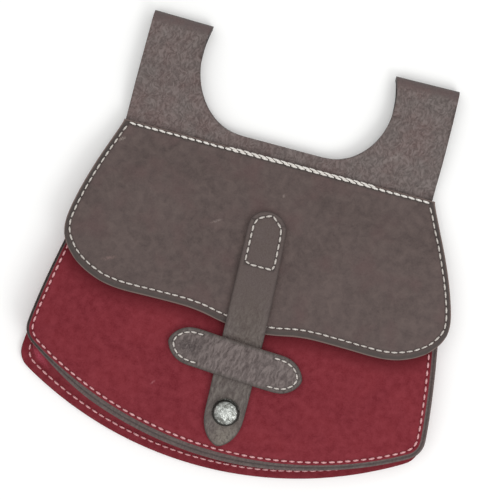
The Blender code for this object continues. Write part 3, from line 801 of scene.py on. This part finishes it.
def touch_down(pieces, ceiling):
    """Height of the highest of some pieces under a point, read by a ray from a ceiling down."""
    only(*pieces)
    seen = bpy.context.evaluated_depsgraph_get()
    trees = [BVHTree.FromObject(piece, seen) for piece in pieces]

    def height(x, y):
        hits = [tree.ray_cast(Vector((x, y, ceiling)), Vector((0, 0, -1)))[0] for tree in trees]
        return max((hit.z for hit in hits if hit), default=None)
    return height


def sew_row(name, line, on, finish, pitch, length, thick, slant=0.0, ceiling=OVER_ALL):
    """Copies of the stitch along a line of (x, y), each laid on the pieces below it."""
    chance = random.Random(name)
    holes = [Vector(place) for place in resample(line, pitch)]
    height = touch_down(on, ceiling)
    copies = []
    for start, end in zip(holes, holes[1:]):
        middle, run = (start + end) / 2, end - start
        if height(*middle) is None:
            continue
        long = run.length * length / pitch * chance.uniform(*LENGTH_RANGE)
        ahead = run.normalized() * long * 0.3
        low = [height(*(middle + ahead * way)) or height(*middle) for way in (-1, 0, 1)]
        rise = math.atan2(low[2] - low[0], 2 * ahead.length)
        aside = chance.uniform(-1, 1) * WANDER * thick
        turn = math.atan2(run.y, run.x) + slant + chance.uniform(-1, 1) * WANDER
        copy = stitch.copy()
        copy.data = stitch.data.copy()
        bpy.context.scene.collection.objects.link(copy)
        wide = thick * chance.uniform(*WIDTH_RANGE)
        along = run.normalized()
        spot = Vector((middle.x - along.y * aside, middle.y + along.x * aside,
                       sum(low) / 3 + wide * (0.5 - STITCH_SINK)))
        size = Matrix.Diagonal((long, wide, wide, 1))
        copy.matrix_world = (Matrix.Translation(spot) @ Matrix.Rotation(turn, 4, "Z")
                             @ Matrix.Rotation(-rise, 4, "Y") @ size)
        copies.append(copy)
    only(*copies)
    bpy.ops.object.join()
    row = bpy.context.object
    row.name = row.data.name = name
    bpy.ops.object.transform_apply(location=True, rotation=True, scale=True)
    row.data.materials.clear()
    row.data.materials.append(finish)
    row.data.shade_smooth()
    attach(row, BODY)
    print(name, len(copies), "stitches,", round(run.length / MM, 2), "mm apart")


# %% [markdown]
# Every sheet was cut from a flat hide.


def stand_for(piece, node):
    """Ride and replace, as every dressed node does."""
    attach(piece, BODY)
    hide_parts(node)


# %% [markdown]
# ## Body of the pouch
# The back panel lies flat on the table. The gusset is one strip folded to a channel, sewn to the
# back with its lower flange and to the welt and the front with its upper one. The lower row runs
# on inside the channel, so its stitches are laid from under the channel's upper flange.

# %% Back panel and gusset
SUEDE_EASE = 0.35 * MM
PANEL_STEP = 1.5 * MM
IN_CHANNEL = 7 * MM
BACK_MARGIN = 4.4 * MM
BACK_ROW_TOP = 5 * MM
back = merged_copy("back_panel", "back_suede")
dress_sheet(back, red_suede, shaded_red_edge, levels=2, ease=SUEDE_EASE, rings=[1.5 * MM] * 3)
stand_for(back, "back_panel")

gusset = merged_copy("gusset", "gusset_suede")
dress_sheet(gusset, gusset_nap, gusset_nap, levels=2, ease=SUEDE_EASE)
stand_for(gusset, "gusset")

back_rim = soft_rim("back_panel", PANEL_STEP, 4)
back_line = stretch_where(move_in(back_rim, BACK_MARGIN), lambda p: p[1] < BACK_ROW_TOP)
sew_row("back_flange_stitches", back_line, [back, gusset], pink_thread,
        pitch=4.2 * MM, length=3.4 * MM, thick=1.15 * MM, ceiling=IN_CHANNEL)

# %% [markdown]
# The welt is a strip of brown leather folded double and caught in the front seam, to cover the
# raw suede and to stiffen the rim. A dark groove shows where its two layers part, midway
# between the front panel's edge and its own; its darkness is partly the pressed groove and
# partly painted shade.

# %% Welt
welt = merged_copy("front_welt", "welt_band")
dress_sheet(welt, welt_leather, welt_leather, levels=3, ease=0.6 * MM, rings=[0.8 * MM])
swell(welt)
front_rim = soft_rim("front_panel", PANEL_STEP, 4)
welt_rim = resample(upper_rim("front_welt"), PANEL_STEP, True)
outer_rim = stretch_where(welt_rim, lambda p: not lies_within(front_rim, *p))
press_furrow(welt, midway(outer_rim, front_rim), depth=0.7 * MM, width=0.4 * MM)
stand_for(welt, "front_welt")

# %% Front panel
FRONT_MARGIN = 1.6 * MM
FRONT_ROW_TOP = 25 * MM
FLAP_SHADE = 9 * MM
front = merged_copy("front_panel", "front_suede")
dress_sheet(front, red_suede, shaded_red_edge, levels=3, ease=SUEDE_EASE, rings=[0.8 * MM, 0.7 * MM])
swell(front)
front_line = stretch_where(move_in(front_rim, FRONT_MARGIN), lambda p: p[1] < FRONT_ROW_TOP)
press_furrow(front, front_line, depth=0.3 * MM, width=0.8 * MM)
# Paint shade on the suede next to the flap's hem.
near_line(front, upper_rim("flap"), FLAP_SHADE, "flap_hem_shade", soft=0.8)
sew_row("front_stitches", front_line, [front], pink_thread,
        pitch=4.2 * MM, length=3.2 * MM, thick=1.15 * MM)
stand_for(front, "front_panel")

# %% [markdown]
# ## Yoke
# The yoke is the wrinkled hanger. Its two loops fold over at the top and run down the back to
# the seam.

# %% Yoke
YOKE_WRINKLE_SIZE = (3.0 * MM, 4.0 * MM, 3.0 * MM)
YOKE_WRINKLE_DEPTH = 0.12 * MM
yoke = merged_copy("yoke", "yoke_leather")
dress_sheet(yoke, yoke_grain, dark_edge, levels=3, ease=0.5 * MM)
displace(yoke, "MUSGRAVE", YOKE_WRINKLE_SIZE, -YOKE_WRINKLE_DEPTH, middle=0.2,
         group=upper_group(yoke), musgrave_type="RIDGED_MULTIFRACTAL")
stand_for(yoke, "yoke")

# %% [markdown]
# ## Flap
# The flap is one bell-shaped sheet. It is stitched all round, 2.5 mm inside its sides and 4 mm
# inside its hem, and a heavier seam along its top joins it to the yoke and the back. The seam is
# sewn with the thread doubled, and over its middle a second pass lies beside the first.

# %% Flap and its seam
SEAM_LAP = 1.3 * MM
SEAM_INSET = 0.5 * MM
SEAM_CLEAR = 1.5 * MM
SIDE_MARGIN = 2.5 * MM
HEM_MARGIN = 4.0 * MM
HEAVY_FROM, HEAVY_TO = -30 * MM, 50 * MM
HEAVY_ASIDE = 0.9 * MM
flap = merged_copy("flap", "flap_leather")
dress_sheet(flap, nubuck, raw_edge, levels=3, ease=0.45 * MM, rings=[0.5 * MM, 0.5 * MM])
swell(flap)

flap_rim = soft_rim("flap", PANEL_STEP, 6)
seam_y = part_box("flap")[1][1] - SEAM_LAP


def flap_margin(outward):
    """How far in the row runs: along the seam, at the sides, and further in where the hem faces."""
    down = np.clip(-outward[:, 1], 0, 1)
    return np.where(outward[:, 1] > 0.8, SEAM_LAP, SIDE_MARGIN + (HEM_MARGIN - SIDE_MARGIN) * down)


side_line = stretch_where(move_in(flap_rim, flap_margin), lambda p: p[1] < seam_y - SEAM_CLEAR)
seam_ends = [side_line[0][0], side_line[-1][0]]
seam_line = np.array([[min(seam_ends) + SEAM_INSET, seam_y], [max(seam_ends) - SEAM_INSET, seam_y]])
heavy_line = np.array([[HEAVY_FROM, seam_y + HEAVY_ASIDE], [HEAVY_TO, seam_y + HEAVY_ASIDE]])
near_line(flap, upper_rim("flap"), 3.2 * MM, "margin", soft=0.4)
near_line(flap, upper_rim("flap"), 0.75 * MM, "rim", soft=0.4)
press_furrow(flap, side_line, depth=0.35 * MM, width=0.9 * MM)
press_furrow(flap, seam_line, depth=0.3 * MM, width=0.9 * MM)
sew_row("flap_edge_stitches", side_line, [flap], grey_thread,
        pitch=4.1 * MM, length=3.5 * MM, thick=1.0 * MM)
sew_row("seam_stitches", seam_line, [flap, yoke], white_thread,
        pitch=4.0 * MM, length=3.8 * MM, thick=1.3 * MM, slant=math.radians(-5))
sew_row("seam_second_pass", heavy_line, [flap, yoke], white_thread,
        pitch=4.0 * MM, length=4.5 * MM, thick=1.05 * MM, slant=math.radians(-7))
stand_for(flap, "flap")

# %% [markdown]
# ## Strap, keeper and stud
# The strap is sewn to the flap by a closed row under its round head, which comes to a small peak
# at the top. The keeper is sewn down by an arc of stitches at each end only, so that the strap can
# slide through.

# %% Strap
STRIP_STEP = 0.8 * MM
STRIP_EASE = 0.4 * MM
HEAD_BOX = 29.6 * MM
BOX_MARGIN = 2.7 * MM
PEAK_HALF, PEAK_RISE, PEAK_ASIDE = 5.6 * MM, 0.9 * MM, 0.4 * MM
strap = merged_copy("strap", "strap_leather")
dress_sheet(strap, strap_grain, raw_edge, levels=3, ease=STRIP_EASE)
swell(strap)
strap_rim = soft_rim("strap", STRIP_STEP, 3)
box_end = STRAP_HEAD - HEAD_BOX
arch = stretch_where(move_in(strap_rim, BOX_MARGIN), lambda p: p[1] > box_end)
middle = (arch[:, 0].min() + arch[:, 0].max()) / 2
sides = arch[np.abs(arch[:, 0] - middle) > PEAK_HALF]
after = np.flatnonzero(sides[:, 0] < middle)[0]
peak = (middle + PEAK_ASIDE, arch[:, 1].max() + PEAK_RISE)
box_line = np.vstack([peak, sides[after:], sides[:after], peak])
# A dark line round the strap's edge, partly painted shadow.
near_line(strap, strap_rim, 0.8 * MM, "rim", soft=0.6)
press_furrow(strap, box_line, depth=0.25 * MM, width=0.7 * MM)
sew_row("strap_box_stitches", box_line, [strap], grey_thread,
        pitch=3.9 * MM, length=3.4 * MM, thick=1.1 * MM)
stand_for(strap, "strap")

# %% Keeper
ARC_REACH = 17.5 * MM
ARC_MARGIN = 2.3 * MM
keeper = merged_copy("keeper", "keeper_leather")
dress_sheet(keeper, keeper_grain, raw_edge, levels=3, ease=STRIP_EASE)
swell(keeper)
keeper_rim = soft_rim("keeper", STRIP_STEP, 3)
keeper_line = move_in(keeper_rim, ARC_MARGIN)
near_line(keeper, keeper_rim, 2.0 * MM, "margin", soft=0.5)
# A dark line round the keeper's edge, partly painted shadow.
near_line(keeper, keeper_rim, 0.7 * MM, "rim", soft=0.6)
low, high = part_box("keeper")
for side, inside in (("left", lambda p: p[0] < low[0] + ARC_REACH),
                     ("right", lambda p: p[0] > high[0] - ARC_REACH)):
    arc = stretch_where(keeper_line, inside)
    press_furrow(keeper, arc, depth=0.25 * MM, width=0.7 * MM)
    sew_row(f"keeper_{side}_stitches", arc, [keeper], grey_thread,
            pitch=3.8 * MM, length=3.3 * MM, thick=1.0 * MM)
stand_for(keeper, "keeper")

# %% [markdown]
# The stud's dome is beaten all over with a small hammer. Each blow leaves a flat, so the dome is
# made finer and then cut by a plane for each blow: what stands above the plane is pressed back
# to it. The blows go round in a spiral and stray a little from it.

# %% Hammered stud
BLOWS = 34
BLOW_DEPTH = 0.11 * MM
BLOW_RANGE = (0.4, 1.5)
BEATEN_SHARE = 0.84
SPIRAL_TURN = math.radians(137.5)
SPIRAL_STRAY = 0.35


def beat_dome(piece, middle, radius):
    """Press a flat into what faces up at each blow's place."""
    hammer = random.Random("hammer")
    dome = [(vert, vert.normal.copy()) for vert in piece.data.vertices if vert.normal.z > 0.25]
    for blow in range(BLOWS):
        far = BEATEN_SHARE * radius * math.sqrt((blow + 0.5) / BLOWS) * hammer.uniform(0.9, 1.0)
        around = blow * SPIRAL_TURN + hammer.uniform(-SPIRAL_STRAY, SPIRAL_STRAY)
        spot = middle + Vector((math.cos(around), math.sin(around))) * far
        hit, normal = min(dome, key=lambda pair: (pair[0].co.xy - spot).length)
        foot = hit.co - normal * BLOW_DEPTH * hammer.uniform(*BLOW_RANGE)
        for vert, _ in dome:
            over = (vert.co - foot).dot(normal)
            if over > 0:
                vert.co -= normal * over
    piece.data.update()


stud = merged_copy("stud", "hammered_stud")
dress_sheet(stud, tin, tin, levels=3, ease=0.15 * MM)
low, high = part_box("stud")
# Paint the shadow line round the rim of the dome.
near_line(stud, upper_rim("stud"), 0.9 * MM, "rim", soft=0.6)
beat_dome(stud, Vector(((low[0] + high[0]) / 2, (low[1] + high[1]) / 2)), (high[0] - low[0]) / 2)
swell(stud)
stand_for(stud, "stud")

# %% Finish
bpy.data.objects.remove(stitch)
total = sum(len(p.vertices) - 2 for o in bpy.data.objects if o.type == "MESH" and not o.hide_render
            for p in o.data.polygons)
print("triangles:", total)
